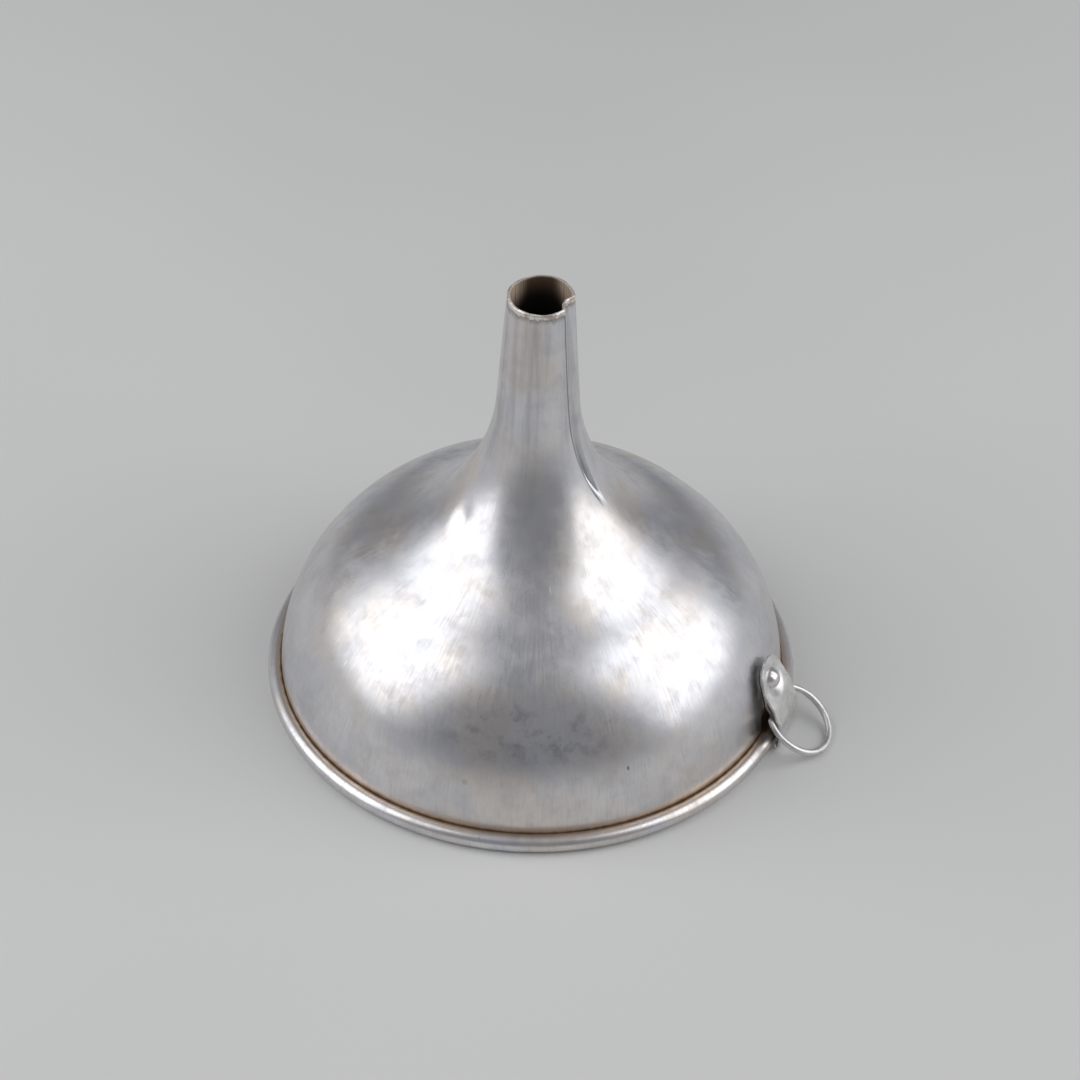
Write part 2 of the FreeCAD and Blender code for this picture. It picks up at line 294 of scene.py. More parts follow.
# The strap's middle line in the plane y = 0, from the top of the front leaf round the hem and up the
# rear leaf, then the radius of each bend
STRAP_SHEET = 0.5
STRAP_PATH = [(51.8, 19.6), (54.2, 14.1), (56.4, 10.6), (58.05, 6.5), (58.4, 4.6), (58.2, 1.0),
              (57.48, 1.0), (57.44, 2.4), (56.0, 5.15), (53.98, 8.56), (53.01, 13.67), (50.49, 19.34)]
STRAP_BENDS = [6.0, 6.0, 0.9, 2.0, 0.35, 0.35, 3.0, 3.0, 3.0, 38.0]
STRAP_HALF_WIDTH = 6.0
STRAP_HALF_WIDTH_AT_ARCH = 5.6
STRAP_ARCH_BASE = 13.0
STRAP_ARCH_TOP = 19.0
STRAP_STEP = 0.12
STRAP_POINTS_ACROSS = 61
STRAP_LEAST_HALF_WIDTH = 0.02
STRAP_EDGE = 0.13
STRAP_EDGE_SEGMENTS = 3
STRAP_SHARP_ANGLE = 50
BEND_POINTS = 25
TONGUE_HALF_WIDTH = 2.7
TONGUE_START = (1.5, 1.8)
BELLY = 0.08
BELLY_WAVE = 2.2
BELLY_START = (4, 9)

# The seat: the front leaf is dished down to the rear one round the rivet
SEAT_RADIUS = 1.6
SEAT_RIM_RADIUS = 4.4
SEAT_GAP = 1.22

RIVET_HEIGHT = 14.1
rivet_tilt = math.degrees(math.asin((RIVET_HEIGHT - dome_centre[1]) / DOME_RADIUS))
rivet_foot = polar(dome_centre, DOME_RADIUS, rivet_tilt)[0]
rivet_line = directions(rivet_tilt)[0]


def rounded_path(corners, radii, step):
    """Evenly spaced points along a polyline whose inner corners are arcs."""
    corners = [np.array(c, float) for c in corners]
    track = [corners[0]]
    for before, corner, after, radius in zip(corners, corners[1:], corners[2:], radii):
        into = (corner - before) / np.linalg.norm(corner - before)
        out = (after - corner) / np.linalg.norm(after - corner)
        half_turn = math.acos(max(-1.0, min(1.0, float(into @ out)))) / 2
        middle = corner + (out - into) / np.linalg.norm(out - into) * radius / math.cos(half_turn)
        spoke = corner - into * radius * math.tan(half_turn) - middle
        way = math.copysign(1, into[0] * out[1] - into[1] * out[0])
        for turn in np.linspace(0, 2 * half_turn, BEND_POINTS) * way:
            spin = np.array([[math.cos(turn), -math.sin(turn)], [math.sin(turn), math.cos(turn)]])
            track.append(middle + spin @ spoke)
    track = np.array(track + [corners[-1]])
    gaps = np.linalg.norm(np.diff(track, axis=0), axis=1)
    reached = np.concatenate([[0], np.cumsum(gaps)])
    even = np.linspace(0, reached[-1], int(reached[-1] / step))
    return np.stack([np.interp(even, reached, track[:, k]) for k in (0, 1)], axis=1)


def front_half_width(height):
    """Half the front leaf's width at a height: slightly tapered sides under a round arch."""
    half, top = STRAP_HALF_WIDTH_AT_ARCH, STRAP_ARCH_TOP
    centre = (top**2 - half**2 - STRAP_ARCH_BASE**2) / (2 * (top - STRAP_ARCH_BASE))
    radius = top - centre
    side = STRAP_HALF_WIDTH + (half - STRAP_HALF_WIDTH) * np.clip(height / STRAP_ARCH_BASE, 0, 1)
    arch = np.sqrt(np.maximum(radius**2 - (height - centre) ** 2, 0))
    return np.where(height > centre, arch, side)


def rear_half_width(height):
    """Half the rear leaf's width at a height: it narrows above the hem to a round-ended tongue."""
    over_rivet = np.clip(height - RIVET_HEIGHT, 0, TONGUE_HALF_WIDTH)
    tongue = np.sqrt(TONGUE_HALF_WIDTH**2 - over_rivet**2)
    return STRAP_HALF_WIDTH + (tongue - STRAP_HALF_WIDTH) * fade(height, *TONGUE_START)


def make_strap(material):
    """The folded strap: a front leaf dished round the rivet, a hem, and a narrower rear leaf."""
    path = rounded_path(STRAP_PATH, STRAP_BENDS, STRAP_STEP)
    rear = np.arange(len(path)) > np.argmin(path[:, 1])
    path = path[path[:, 1] <= np.where(rear, RIVET_HEIGHT + TONGUE_HALF_WIDTH, STRAP_ARCH_TOP)]
    ways = np.gradient(path, axis=0)
    ways /= np.linalg.norm(ways, axis=1)[:, None]
    normals = np.stack([-ways[:, 1], ways[:, 0]], axis=1)
    order, lowest = np.arange(len(path)), int(np.argmin(path[:, 1]))
    widths = np.where(order > lowest, rear_half_width(path[:, 1]), front_half_width(path[:, 1]))
    widths = np.maximum(widths, STRAP_LEAST_HALF_WIDTH)

    # points crowd together towards the sides, where the outline turns across at the arch's top
    spacing = np.sin(np.linspace(-90, 90, STRAP_POINTS_ACROSS) * math.pi / 180)
    across = spacing[None, :] * widths[:, None]
    distance = path[:, :1] + 0 * across
    height = path[:, 1:] + 0 * across

    # the front leaf is pressed down on the rear one close to the rivet's line
    off_x, off_z = distance - rivet_foot[0], height - rivet_foot[1]
    lift = off_x * rivet_line[0] + off_z * rivet_line[1]
    slide_x, slide_z = off_x - lift * rivet_line[0], off_z - lift * rivet_line[1]
    away = np.sqrt(slide_x**2 + slide_z**2 + across**2)
    on_front = (order < lowest)[:, None]
    seat = (1 - fade(away, SEAT_RADIUS, SEAT_RIM_RADIUS)) * on_front
    target = SEAT_GAP + STRAP_SHEET / 2
    distance = distance - rivet_line[0] * (lift - target) * seat
    height = height - rivet_line[1] * (lift - target) * seat

    # a worn strap is never quite flat
    bow = np.cos(across / STRAP_HALF_WIDTH * BELLY_WAVE)
    belly = BELLY * bow * fade(height, *BELLY_START) * on_front * (1 - seat)
    distance = distance + normals[:, :1] * belly
    height = height + normals[:, 1:] * belly

    vertices = np.stack([distance, across, height], axis=-1).reshape(-1, 3)
    strap = add_mesh("strap", vertices, grid_faces(*across.shape, False), material)
    solid = strap.modifiers.new("thickness", "SOLIDIFY")
    solid.thickness = STRAP_SHEET * MM
    solid.offset = 0
    edge = strap.modifiers.new("edge", "BEVEL")
    edge.width = STRAP_EDGE * MM
    edge.segments = STRAP_EDGE_SEGMENTS
    edge.limit_method = "ANGLE"
    edge.angle_limit = math.radians(STRAP_SHARP_ANGLE)
    return strap


# ---------------------------------------------------------------- the rivet

RIVET_HEAD_RADIUS = 2.35
RIVET_HEAD_FOOT_RADIUS = 2.23
RIVET_HEAD_HEIGHT = 1.7
RIVET_CROWN = 0.10
RIVET_CROWN_LEFT = 0.4
RIVET_SHANK_RADIUS = 1.47
RIVET_TAIL_RADIUS = 2.1
RIVET_TAIL_HEIGHT = 0.8
RIVET_TAIL_ROUND = 0.3
RIVET_TAIL_EDGE = 0.1
RIVET_TAIL_GAP = 0.1
RIVET_AXIS_HOLE = 0.01
RIVET_DOME_END = 89.7
RIVET_DOME_POINTS = 22
RIVET_ROUND_POINTS = 6
RIVET_SEGMENTS = 72


def spin_profile(profile, foot, line, segments):
    """Points and quads of a closed (radius, height) outline turned about a line in the plane y = 0."""
    turn = np.linspace(0, 2 * math.pi, segments, endpoint=False)
    across = np.array([0.0, 1.0, 0.0])
    along = np.array([line[0], 0.0, line[1]])
    third = np.cross(along, across)
    ray = np.cos(turn)[:, None] * across + np.sin(turn)[:, None] * third
    radius, height = np.array(profile)[:, 0], np.array(profile)[:, 1]
    origin = np.array([foot[0], 0.0, foot[1]])
    points = origin + height[:, None, None] * along + radius[:, None, None] * ray[None]
    return points.reshape(-1, 3), grid_faces(len(profile), segments, True)


def make_rivet(material):
    """Domed head on the strap, shank, and a flattened tail inside the bowl."""
    seat = SEAT_GAP + STRAP_SHEET
    top = seat + RIVET_HEAD_HEIGHT
    tail = -(SHEET + RIVET_TAIL_GAP)
    tail_end = tail - RIVET_TAIL_HEIGHT
    ball = (RIVET_HEAD_RADIUS**2 + RIVET_HEAD_HEIGHT**2) / (2 * RIVET_HEAD_HEIGHT)
    low_angle = math.degrees(math.asin((ball - RIVET_HEAD_HEIGHT) / ball))
    dome = polar((0, top - ball), ball, np.linspace(low_angle, RIVET_DOME_END, RIVET_DOME_POINTS))

    # the crown is worn flatter
    flat = top - RIVET_CROWN
    dome[:, 1] = np.where(dome[:, 1] > flat, flat + (dome[:, 1] - flat) * RIVET_CROWN_LEFT, dome[:, 1])

    tail_round = polar((RIVET_TAIL_RADIUS - RIVET_TAIL_ROUND, tail_end + RIVET_TAIL_ROUND),
                       RIVET_TAIL_ROUND, np.linspace(-90, 0, RIVET_ROUND_POINTS))
    profile = [
        (RIVET_AXIS_HOLE, tail_end),
        *tail_round.tolist(),
        (RIVET_TAIL_RADIUS, tail - RIVET_TAIL_EDGE),
        (RIVET_TAIL_RADIUS - RIVET_TAIL_EDGE, tail),
        (RIVET_SHANK_RADIUS, tail),
        (RIVET_SHANK_RADIUS, seat),
        (RIVET_HEAD_FOOT_RADIUS, seat),
        *dome.tolist(),
    ]
    vertices, faces = spin_profile(profile, rivet_foot, rivet_line, RIVET_SEGMENTS)
    return add_mesh("rivet", vertices, faces, material)


# ---------------------------------------------------------------- the ring

# The wire is as in the CAD near the hinge and thicker in the free part, as it looks in the photo
RING_WIRE_RADIUS = 0.63
RING_SHOWN_WIRE_RADIUS = 0.74
RING_THICKENS = (3.5, 5.5)
RING_FLAT_DEPTH = 2.4
RING_CORNER_RADIUS = 1.3
RING_DROOP = 32.5
RING_BAR_POINTS = 12
RING_CORNER_POINTS = 12
RING_ROUND_POINTS = 70
WIRE_SEGMENTS = 20
ring_reach = (ring_high.x / MM - RING_WIRE_RADIUS - hinge.x) / math.cos(math.radians(RING_DROOP))
RING_RADIUS = ring_reach / 2 + RING_FLAT_DEPTH / 2


def ring_track():
    """The wire's middle line in the ring's own plane, starting at the middle of its straight bar."""
    centre = RING_RADIUS - RING_FLAT_DEPTH
    reach = RING_RADIUS - RING_CORNER_RADIUS
    corner = (RING_CORNER_RADIUS, math.sqrt(reach**2 - (centre - RING_CORNER_RADIUS) ** 2))
    bend = math.degrees(math.atan2(corner[1], centre - corner[0]))
    along_bar = np.linspace(0, corner[1], RING_BAR_POINTS, endpoint=False)
    bar = np.stack([np.zeros(RING_BAR_POINTS), along_bar], axis=1)
    small_angles = np.linspace(180, 180 - bend, RING_CORNER_POINTS, endpoint=False)
    small = polar(corner, RING_CORNER_RADIUS, small_angles)
    large = polar((centre, 0), RING_RADIUS, np.linspace(180 - bend, 0, RING_ROUND_POINTS))
    half = np.concatenate([bar, small, large])
    return np.concatenate([half, half[-2:0:-1] * np.array([1, -1])])


def make_ring(material):
    """Round wire carried along the ring's track, hanging from the hinge."""
    track = ring_track()
    ways = np.roll(track, -1, axis=0) - np.roll(track, 1, axis=0)
    ways /= np.linalg.norm(ways, axis=1)[:, None]
    sideways = np.stack([ways[:, 1], -ways[:, 0]], axis=1)
    thicker = RING_SHOWN_WIRE_RADIUS - RING_WIRE_RADIUS
    radius = RING_WIRE_RADIUS + thicker * fade(track[:, 0], *RING_THICKENS)
    turn = np.linspace(0, 2 * math.pi, WIRE_SEGMENTS, endpoint=False)
    flat = track[:, None, :] + (radius[:, None] * np.cos(turn))[..., None] * sideways[:, None, :]
    lift = radius[:, None] * np.sin(turn)
    droop = math.radians(RING_DROOP)
    x = hinge.x + flat[..., 0] * math.cos(droop) + lift * math.sin(droop)
    z = hinge.z - flat[..., 0] * math.sin(droop) + lift * math.cos(droop)
    vertices = np.stack([x, flat[..., 1], z], axis=-1).reshape(-1, 3)
    return add_mesh("ring_wire", vertices, grid_faces(len(track), WIRE_SEGMENTS, True), material)


# ---------------------------------------------------------------- materials

CLEAN = (0.76, 0.75, 0.77, 1)
WARM = (0.71, 0.67, 0.64, 1)
COOL = (0.62, 0.64, 0.69, 1)
STREAK_GREY = (0.50, 0.49, 0.51, 1)
SMOKE = (0.34, 0.33, 0.36, 1)
STAIN = (0.20, 0.18, 0.18, 1)
TAN = (0.62, 0.48, 0.36, 1)
BROWN = (0.17, 0.105, 0.05, 1)
# dark dirt and painted shade along the groove's sharp edge
GROOVE_DIRT_AND_SHADE_BLACK = (0.03, 0.028, 0.028, 1)
# near black up the spout, and brown and tan by the lip, are painted shade and painted light inside the
# bore
BORE_SHADE_BLACK = (0.012, 0.009, 0.007, 1)
LINING = (0.42, 0.40, 0.39, 1)
BORE_SHADE_BROWN = (0.16, 0.10, 0.06, 1)
BORE_LIT_TAN = (0.66, 0.54, 0.43, 1)
RIM_BRIGHT = (0.88, 0.84, 0.81, 1)
RIM_BROWN = (0.50, 0.40, 0.33, 1)
SCRATCH_WHITE = (1, 1, 1, 1)
CARD_DARK = (0.69, 0.69, 0.68, 1)
CARD_LIGHT = (0.73, 0.73, 0.72, 1)

# Metals of the small parts: colour, colour where worn, share of dirt, lowest roughness
SMALL_METALS = {
    "strap_aluminium": ((0.72, 0.72, 0.71, 1), (0.82, 0.81, 0.80, 1), 0.40, 0.30),
    "rivet_aluminium": ((0.72, 0.70, 0.69, 1), (0.82, 0.81, 0.80, 1), 0.35, 0.25),
    "ring_metal": ((0.66, 0.65, 0.65, 1), (0.78, 0.77, 0.77, 1), 0.35, 0.34),
}


def on_surface(angle, distance, height):
    """A point in millimetres from its angle about the axis, distance from it and height."""
    a = math.radians(angle)
    return (distance * math.cos(a), distance * math.sin(a), height)


# Dark smudges on the front of the bowl, and dirt with painted shadow on the bowl round the strap: middle
# and half sizes
FRONT_SMUDGE = (on_surface(-70, 46.0, 24.5), (33.0, 15.0, 8.5))
FRONT_SMUDGE_TURN = math.radians(20)
STRAP_DIRT_AND_SHADOW = (on_surface(0, 52.5, 4.0), (12.0, 5.8, 12.4))

# Single marks: middle, half sizes, turn about Z, colour, share
MARKS = [
    (on_surface(-84.7, 52.2, 14.3), (0.9, 0.9, 0.9), 0.0, TAN, 0.8),
    (on_surface(-47.3, 51.5, 16.3), (0.35, 0.35, 0.95), 0.0, STAIN, 0.9),
    (on_surface(-62.1, 23.9, 42.8), (1.5, 0.22, 1.5), -62.0, SCRATCH_WHITE, 0.9),
    (on_surface(-125.0, 47.1, 24.4), (1.2, 0.18, 1.2), -125.0, SCRATCH_WHITE, 0.6),
]

# Noises: scale, detail, roughness. Those of the walls run along stretched places: how fast they change
# with the way from the axis in x and y, and with height
UPRIGHT = (30.0, 30.0, 0.07)
STREAKS = (4.0, 4.0, 0.65)
FINE_STREAKS = (11.0, 2.0, 0.6)
TALL = (3.0, 3.0, 0.02)
TALL_STAINS = (1.0, 3.0, 0.55)
BORE_UPRIGHT = (7.5, 7.5, 0.02)
BORE_RUNS = (4.0, 3.0, 0.6)
LEVEL = (3.2, 3.2, 0.02)
SPIN_LINES = (1.0, 2.0, 0.6)
PATCHES = (0.055, 3.0, 0.5)
COOL_PATCHES = (0.09, 2.0, 0.55)
SMUDGES = (0.26, 5.0, 0.62)
SPECKS = (0.95, 3.0, 0.6)
CREASE_EDGE = (0.5, 3.0, 0.55)
STRAP_DIRT_AND_SHADOW_EDGE = (0.45, 3.0, 0.55)
BORE_EDGE = (0.25, 3.0, 0.55)
CHIP_STRETCH = (1.0, 1.0, 0.35)
CHIPS = (1.3, 3.0, 0.6)
NICKS = (0.42, 3.0, 0.6)
SMALL_PATCHES = (0.45, 4.0, 0.6)
SMALL_SPECKS = (2.6, 3.0, 0.6)
SMALL_DIRT = (0.55, 4.0, 0.6)
SCRATCH_STRETCH = (1.2, 5.0, 1.2)
SCRATCHES = (1.6, 3.0, 0.6)
CARD_FIBRES = (0.8, 4.0, 0.6)
CARD_CLOUDS = (0.004, 2.0, 0.5)

# Shares of the worn metal's layers. Smudges and spots: everywhere, and more on the front
COOL_SHARE = 0.55
STREAK_SHARE = 0.30
SMUDGE_SHARE = (0.16, 0.62)
SPOT_SHARE = (0.06, 0.42)
SPOUT_STAIN_SHARE = 0.42

# The crease where the bead's free edge meets the wall: distance and height. Then how far from it the tan
# wash, which is partly grime and partly painted reflection, and the brown dirt fade, and how ragged they
# are
CREASE = (54.25, 3.55)
CREASE_WASH_AND_REFLECTION = (0.9, 2.7)
CREASE_DIRT = (0.45, 1.15)
CREASE_RAGGED = 0.9

# Heights between which the spout's stains, the dark bore, which is painted shade, and the painted light
# tan by the lip set in
SPOUT_STAINS = (50.0, 72.0)
DARK_BORE = (48.0, 75.0)
BORE_LIT_TAN_START = (95.5, 102.5)

# The bore is painted tan on two opposite sides, as painted light on the sides that face the lights: the
# way from one to the other, in x and y
LIT_SIDE = (0.94, 0.33)

# Heights between which the lip's rubbed rim and the dirt under it set in
RIM = (99.4, 99.9)
UNDER_RIM = (98.2, 99.5)


class Graph:
    """A short way to write a material's nodes."""

    def __init__(self, name):
        self.material = bpy.data.materials.new(name)
        self.material.use_nodes = True
        self.tree = self.material.node_tree
        self.tree.nodes.clear()

        # where the point is, in millimetres
        coordinates = self.add("ShaderNodeTexCoord", {}).outputs["Object"]
        scaled = self.add("ShaderNodeVectorMath", {0: coordinates, 3: 1 / MM}, operation="SCALE")
        self.place = scaled.outputs[0]
        self.x, self.y, self.z = self.add("ShaderNodeSeparateXYZ", {0: self.place}).outputs

    def add(self, kind, inputs, **settings):
        node = self.tree.nodes.new(kind)
        for key, value in settings.items():
            setattr(node, key, value)
        for key, value in inputs.items():
            socket = node.inputs[key]
            if isinstance(value, bpy.types.NodeSocket):
                self.tree.links.new(value, socket)
            else:
                socket.default_value = value
        return node

    def math(self, operation, first, second=0.0):
        return self.add("ShaderNodeMath", {0: first, 1: second}, operation=operation).outputs[0]

    def plus(self, first, second):
        return self.math("ADD", first, second)

    def minus(self, first, second):
        return self.math("SUBTRACT", first, second)

    def times(self, first, second):
        return self.math("MULTIPLY", first, second)

    def stretch(self, values, sizes):
        """A vector of three values, each times its size."""
        x, y, z = (self.times(value, size) for value, size in zip(values, sizes))
        return self.add("ShaderNodeCombineXYZ", {0: x, 1: y, 2: z}).outputs[0]

    def noise(self, vector, scale, detail, roughness):
        inputs = {"Vector": vector, "Scale": scale, "Detail": detail, "Roughness": roughness}
        return self.add("ShaderNodeTexNoise", inputs).outputs[0]

    def step(self, value, low, high, bottom=0.0, top=1.0):
        """bottom below low, top above high, smooth between."""
        inputs = {"Value": value, "From Min": low, "From Max": high, "To Min": bottom, "To Max": top}
        return self.add("ShaderNodeMapRange", inputs, interpolation_type="SMOOTHSTEP").outputs[0]

    def mix(self, share, first, second):
        node = self.add("ShaderNodeMix", {0: share, 6: first, 7: second}, data_type="RGBA")
        return node.outputs[2]

    def attribute(self, name):
        return self.add("ShaderNodeAttribute", {}, attribute_name=name).outputs["Fac"]

    def blot(self, centre, size, turn=0.0, core=0.35):
        """1 in the core of an ellipsoid turned about Z, falling to 0 at its edge."""
        inputs = {"Vector": self.place, "Location": centre, "Rotation": (0, 0, turn), "Scale": size}
        local = self.add("ShaderNodeMapping", inputs, vector_type="TEXTURE").outputs[0]
        length = self.add("ShaderNodeVectorMath", {0: local}, operation="LENGTH").outputs["Value"]
        return self.step(length, core, 1.0, 1.0, 0.0)

    def finish(self, colour, metallic, roughness, height, strength=1.0, anisotropic=0.0):
        """height is in millimetres. An anisotropic shine is lined up with rings about Z."""
        bump = self.add("ShaderNodeBump", {"Strength": strength, "Distance": MM, "Height": height})
        inputs = {"Base Color": colour, "Metallic": metallic, "Roughness": roughness,
                  "Normal": bump.outputs[0], "Anisotropic": anisotropic}
        shader = self.add("ShaderNodeBsdfPrincipled", inputs)
        if anisotropic:
            tangent = self.add("ShaderNodeTangent", {}, direction_type="RADIAL", axis="Z")
            self.tree.links.new(tangent.outputs[0], shader.inputs["Tangent"])
        output = self.add("ShaderNodeOutputMaterial", {})
        self.tree.links.new(shader.outputs[0], output.inputs[0])
        return self.material


class ShellGraph(Graph):
    """The layers of the shell's material."""

    def __init__(self, name):
        super().__init__(name)
        squares = self.plus(self.times(self.x, self.x), self.times(self.y, self.y))
        self.distance = self.math("SQRT", squares)
        self.inside = self.attribute("inside")
        self.outside = self.minus(1.0, self.inside)

        # streaks run up and down the walls, spinning lines run round them
        x_way = self.math("DIVIDE", self.x, self.distance)
        y_way = self.math("DIVIDE", self.y, self.distance)
        self.up_and_round = (x_way, y_way, self.z)
        upright = self.stretch(self.up_and_round, UPRIGHT)
        self.streak = self.noise(upright, *STREAKS)
        self.fine_streak = self.noise(upright, *FINE_STREAKS)
        level = self.stretch((self.distance, self.z, self.x), LEVEL)
        self.spin = self.noise(level, *SPIN_LINES)
        self.smudge = self.noise(self.place, *SMUDGES)

    def worn_metal(self):
        """Broad patches, streaks, and smudges and small spots that are densest on the front."""
        patch = self.noise(self.place, *PATCHES)
        cool_patch = self.step(self.noise(self.place, *COOL_PATCHES), 0.45, 0.65)
        speck = self.noise(self.place, *SPECKS)
        colour = self.mix(self.step(patch, 0.42, 0.62), CLEAN, WARM)
        colour = self.mix(self.times(cool_patch, COOL_SHARE), colour, COOL)
        colour = self.mix(self.step(self.streak, 0.42, 0.72, 0.0, STREAK_SHARE), colour, STREAK_GREY)
        front = self.blot(*FRONT_SMUDGE, FRONT_SMUDGE_TURN)
        smudge_share = self.plus(self.times(front, SMUDGE_SHARE[1]), SMUDGE_SHARE[0])
        colour = self.mix(self.times(self.step(self.smudge, 0.42, 0.68), smudge_share), colour, SMOKE)
        spot_share = self.plus(self.times(front, SPOT_SHARE[1]), SPOT_SHARE[0])
        return self.mix(self.times(self.step(speck, 0.64, 0.76), spot_share), colour, STAIN)

    def spout_stains(self, colour):
        """Long faint stains down the spout."""
        tall = self.noise(self.stretch(self.up_and_round, TALL), *TALL_STAINS)
        on_spout = self.step(self.z, *SPOUT_STAINS, 0.0, SPOUT_STAIN_SHARE)
        return self.mix(self.times(self.step(tall, 0.40, 0.66), on_spout), colour, SMOKE)

    def crease_dirt_and_reflection(self):
        """Shares of brown dirt in the crease along the bead, and of tan round it on the bead and up the
        wall, which is partly grime and partly painted reflection.
        """
        out, up = self.minus(self.distance, CREASE[0]), self.minus(self.z, CREASE[1])
        away = self.math("SQRT", self.plus(self.math("POWER", out, 2.0), self.math("POWER", up, 2.0)))
        ragged = self.plus(away, self.times(self.noise(self.place, *CREASE_EDGE), CREASE_RAGGED))
        # painted reflection: the tan round the crease is partly grime and partly the bead's painted
        # reflection
        tan_wash_and_reflection = self.times(self.step(ragged, *CREASE_WASH_AND_REFLECTION, 0.70, 0.0), self.outside)
        return self.step(ragged, *CREASE_DIRT, 0.95, 0.0), tan_wash_and_reflection

    def strap_dirt_and_shadow(self, colour):
        """Dirt round the strap, where the bowl can't be wiped, with the strap's painted shadow on the
        bowl.
        """
        patchy = self.step(self.noise(self.place, *STRAP_DIRT_AND_SHADOW_EDGE), 0.25, 0.6, 0.55, 1.0)
        # brown share: dirt and the strap's painted shadow on the bowl
        share = self.times(self.blot(*STRAP_DIRT_AND_SHADOW, core=0.84), patchy)
        return self.mix(self.times(share, self.times(self.outside, 0.80)), colour, BROWN)

    def marks(self, colour):
        for centre, size, turn, shade, share in MARKS:
            mark = self.blot(centre, size, math.radians(turn))
            colour = self.mix(self.times(mark, share), colour, shade)
        return colour

    def lining(self):
        """Inside: dull in the bowl and painted shade near black up the spout; by the lip, painted light
        tan on the two sides that face the lights, with painted shade brown between.
        """
        # painted shade: the bore is painted near black up the spout
        climb = self.plus(self.z, self.times(self.noise(self.place, *BORE_EDGE), 14.0))
        up_spout = self.step(climb, *DARK_BORE)
        # painted light: tan on the bore's two sides that face the lights, with painted shade brown
        # between them
        sideways = self.plus(self.times(self.x, LIT_SIDE[0]), self.times(self.y, LIT_SIDE[1]))
        off_middle = self.math("ABSOLUTE", sideways)
        level = self.plus(self.z, self.step(off_middle, 2.0, 5.5, 0.0, 3.2))
        near_lip = self.step(self.plus(self.times(self.streak, 2.5), level), *BORE_LIT_TAN_START)
        tone = self.mix(self.step(off_middle, 2.0, 5.0), BORE_SHADE_BROWN, BORE_LIT_TAN)
        run = self.noise(self.stretch(self.up_and_round, BORE_UPRIGHT), *BORE_RUNS)
        tone = self.mix(self.step(run, 0.45, 0.62, 0.0, 0.6), tone, BROWN)
        return self.mix(up_spout, LINING, self.mix(near_lip, BORE_SHADE_BLACK, tone)), up_spout

    def rim(self, colour):
        """The lip's rim, rubbed bright with brown in the nicks, over a dirtier band."""
        chips = self.noise(self.stretch((self.x, self.y, self.z), CHIP_STRETCH), *CHIPS)
        edge = self.plus(self.z, self.times(chips, 2.4))
        rim = self.times(self.step(edge, *RIM), self.step(self.inside, 0.3, 0.9, 1.0, 0.0))
        nicks = self.step(self.noise(self.place, *NICKS), 0.44, 0.60)
        colour = self.mix(self.times(rim, 0.8), colour, self.mix(nicks, RIM_BRIGHT, RIM_BROWN))
        under = self.times(self.step(edge, *UNDER_RIM), self.minus(1.0, rim))
        colour = self.mix(self.times(self.times(under, self.outside), 0.45), colour, STAIN)
        return colour, self.times(rim, self.times(chips, 0.25))


def shell_material():
    """Aged spun aluminium: wiping streaks, smudges, brown dirt along the bead under a tan that is partly
    painted reflection, dirt with painted shade along the groove and painted shadow round the strap, and
    a bore with painted shade and painted light.
    """
    g = ShellGraph("aged_aluminium")
    colour = g.spout_stains(g.worn_metal())
    dirt, tan_wash_and_reflection = g.crease_dirt_and_reflection()
    # brown dirt in the crease over a tan that is partly grime and partly painted reflection
    colour = g.mix(dirt, g.mix(tan_wash_and_reflection, colour, TAN), BROWN)
    colour = g.strap_dirt_and_shadow(colour)
    # painted shade and dirt: a dark line along the groove's sharp edge
    groove_dirt_and_shade = g.times(g.attribute("groove_dirt_and_shade"), g.step(g.streak, 0.2, 0.6, 0.75, 0.95))
    colour = g.marks(g.mix(groove_dirt_and_shade, colour, GROOVE_DIRT_AND_SHADE_BLACK))
    lining, up_spout = g.lining()
    colour = g.mix(g.step(g.inside, 0.55, 1.0), colour, lining)
    colour, rim_height = g.rim(colour)

    roughness = g.plus(g.step(g.streak, 0.3, 0.75, 0.0, 0.10), g.step(g.smudge, 0.4, 0.75, 0.27, 0.38))
    inside_roughness = g.times(g.inside, g.plus(g.times(up_spout, 0.3), 0.12))
    for more in (g.times(tan_wash_and_reflection, 0.15), g.times(dirt, 0.25), g.times(groove_dirt_and_shade, 0.25), inside_roughness):
        roughness = g.plus(roughness, more)
    grime_and_shade = g.math("MAXIMUM", g.math("MAXIMUM", dirt, groove_dirt_and_shade), g.times(g.inside, up_spout))
    metallic = g.minus(1.0, g.times(grime_and_shade, 0.75))

    height = rim_height
    for relief, size in [(g.streak, 0.003), (g.fine_streak, 0.0015), (g.spin, 0.001), (g.smudge, 0.02)]:
        height = g.plus(height, g.times(relief, size))
    return g.finish(colour, metallic, roughness, height, anisotropic=0.25)


def small_part_material(name):
    """The same aged metal for the strap, rivet and ring, with dirt in patches."""
    base, worn, dirt_share, lowest_roughness = SMALL_METALS[name]
    g = Graph(name)
    patch = g.noise(g.place, *SMALL_PATCHES)
    fine = g.noise(g.place, *SMALL_SPECKS)
    scratch = g.noise(g.stretch((g.x, g.y, g.z), SCRATCH_STRETCH), *SCRATCHES)
    colour = g.mix(g.step(patch, 0.35, 0.7), base, worn)
    colour = g.mix(g.step(fine, 0.58, 0.80, 0.0, 0.18), colour, STAIN)
    dirt = g.times(g.step(g.noise(g.place, *SMALL_DIRT), 0.54, 0.78), dirt_share)
    colour = g.mix(dirt, colour, BROWN)
    roughness = g.step(patch, 0.3, 0.7, lowest_roughness, lowest_roughness + 0.14)
    roughness = g.plus(roughness, g.times(dirt, 0.3))
    height = g.plus(g.times(scratch, 0.004), g.times(patch, 0.008))
    return g.finish(colour, g.minus(1.0, g.times(dirt, 0.5)), roughness, height)


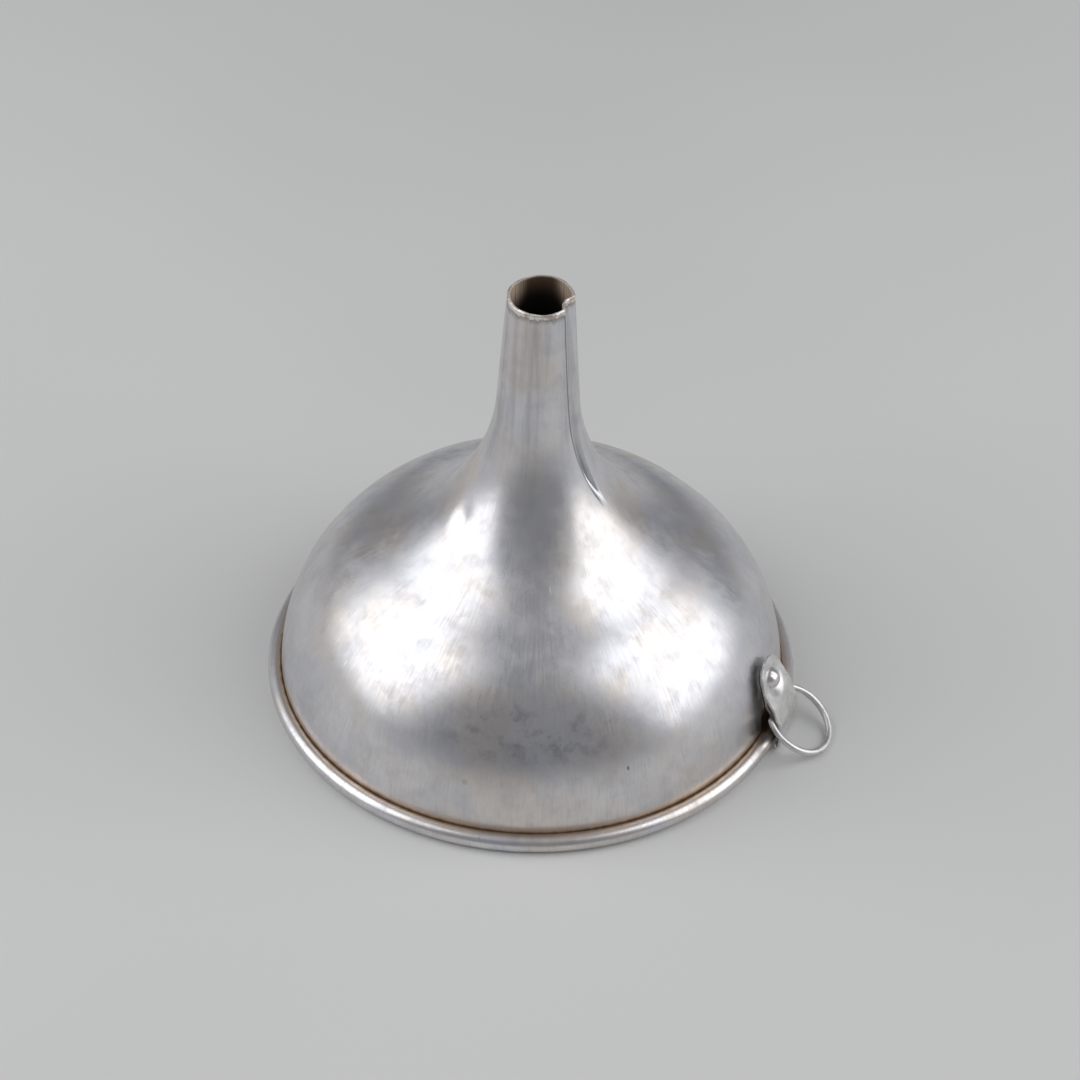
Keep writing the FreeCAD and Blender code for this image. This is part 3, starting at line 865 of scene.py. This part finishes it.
def floor_material():
    """Matt pale card."""
    g = Graph("pale_card")
    fibre = g.noise(g.place, *CARD_FIBRES)
    shade = g.noise(g.place, *CARD_CLOUDS)
    colour = g.mix(g.step(shade, 0.3, 0.7), CARD_DARK, CARD_LIGHT)
    return g.finish(colour, 0.0, 0.75, g.times(fibre, 0.02), strength=0.4)


# ---------------------------------------------------------------- stage

CAMERA_LENS = 100.0
CAMERA_SENSOR = 36.0
CAMERA_AZIMUTH = 19.5
CAMERA_ELEVATION = 43.44
CAMERA_DISTANCE = 0.6558
CAMERA_ROLL = 1.556
# The way to the world's middle in the camera's view, which looks down its own -Z
AIM = Vector((-0.003, -0.04107, -1.0))

FLOOR_SIZE = 6.0
WORLD_COLOUR = (0.93, 0.95, 1.0, 1)
WORLD_STRENGTH = 0.24
LIGHTS = [
    # name, azimuth from the camera, elevation, distance, width, height, watts
    ("left_box", -85.0, 38.0, 0.80, 0.80, 0.90, 3.6),
    ("right_box", 85.0, 36.0, 0.80, 0.80, 0.90, 3.6),
]


def from_azimuth(azimuth, elevation):
    """Direction from the origin: azimuth 0 is in front, along -Y, and it grows towards +X."""
    a, e = math.radians(azimuth), math.radians(elevation)
    return Vector((math.sin(a) * math.cos(e), -math.cos(a) * math.cos(e), math.sin(e)))


def add_camera():
    """At the photo's angle, with the photo's framing."""
    data = bpy.data.cameras.new("camera")
    data.lens = CAMERA_LENS
    data.sensor_width = CAMERA_SENSOR
    camera = bpy.data.objects.new("camera", data)
    bpy.context.scene.collection.objects.link(camera)
    back = from_azimuth(CAMERA_AZIMUTH, CAMERA_ELEVATION)
    right = Vector((math.cos(math.radians(CAMERA_AZIMUTH)), math.sin(math.radians(CAMERA_AZIMUTH)), 0))
    upright = Matrix((right, back.cross(right), back)).transposed()
    roll = Matrix.Rotation(math.radians(CAMERA_ROLL), 3, "Z")
    aim = Vector((0, 0, -1)).rotation_difference(AIM).to_matrix()
    turn = upright @ roll @ aim.transposed()
    camera.matrix_world = Matrix.Translation(back * CAMERA_DISTANCE) @ turn.to_4x4()
    bpy.context.scene.camera = camera


def add_lights():
    """Two soft boxes left and right of the camera, and a dim even surround."""
    for name, azimuth, elevation, distance, width, height, watts in LIGHTS:
        data = bpy.data.lights.new(name, "AREA")
        data.shape = "RECTANGLE"
        data.size = width
        data.size_y = height
        data.energy = watts
        light = bpy.data.objects.new(name, data)
        bpy.context.scene.collection.objects.link(light)
        place = from_azimuth(azimuth + CAMERA_AZIMUTH, elevation) * distance
        light.location = place
        light.rotation_euler = place.to_track_quat("Z", "Y").to_euler()
    world = bpy.data.worlds.new("studio")
    world.use_nodes = True
    background = world.node_tree.nodes["Background"]
    background.inputs["Color"].default_value = WORLD_COLOUR
    background.inputs["Strength"].default_value = WORLD_STRENGTH
    bpy.context.scene.world = world


def add_floor():
    """A plain pale floor under the object."""
    half = FLOOR_SIZE / 2 / MM
    corners = [(-half, -half, 0), (half, -half, 0), (half, half, 0), (-half, half, 0)]
    floor = add_mesh("floor", corners, [(0, 1, 2, 3)], floor_material())


# ---------------------------------------------------------------- the object

for piece, node, body, slot in [
    (make_shell(shell_material()), "funnel_body", "funnel", "body_aluminium"),
    (make_strap(small_part_material("strap_aluminium")), "ring_lug", "funnel", "lug_aluminium"),
    (make_rivet(small_part_material("rivet_aluminium")), "lug_rivet", "funnel", "rivet_aluminium"),
    (make_ring(small_part_material("ring_metal")), "hanging_ring", "ring", "ring_wire"),
]:
    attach(piece, body)
    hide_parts(node)

add_floor()
add_lights()
add_camera()
bpy.context.scene.view_settings.view_transform = "Standard"
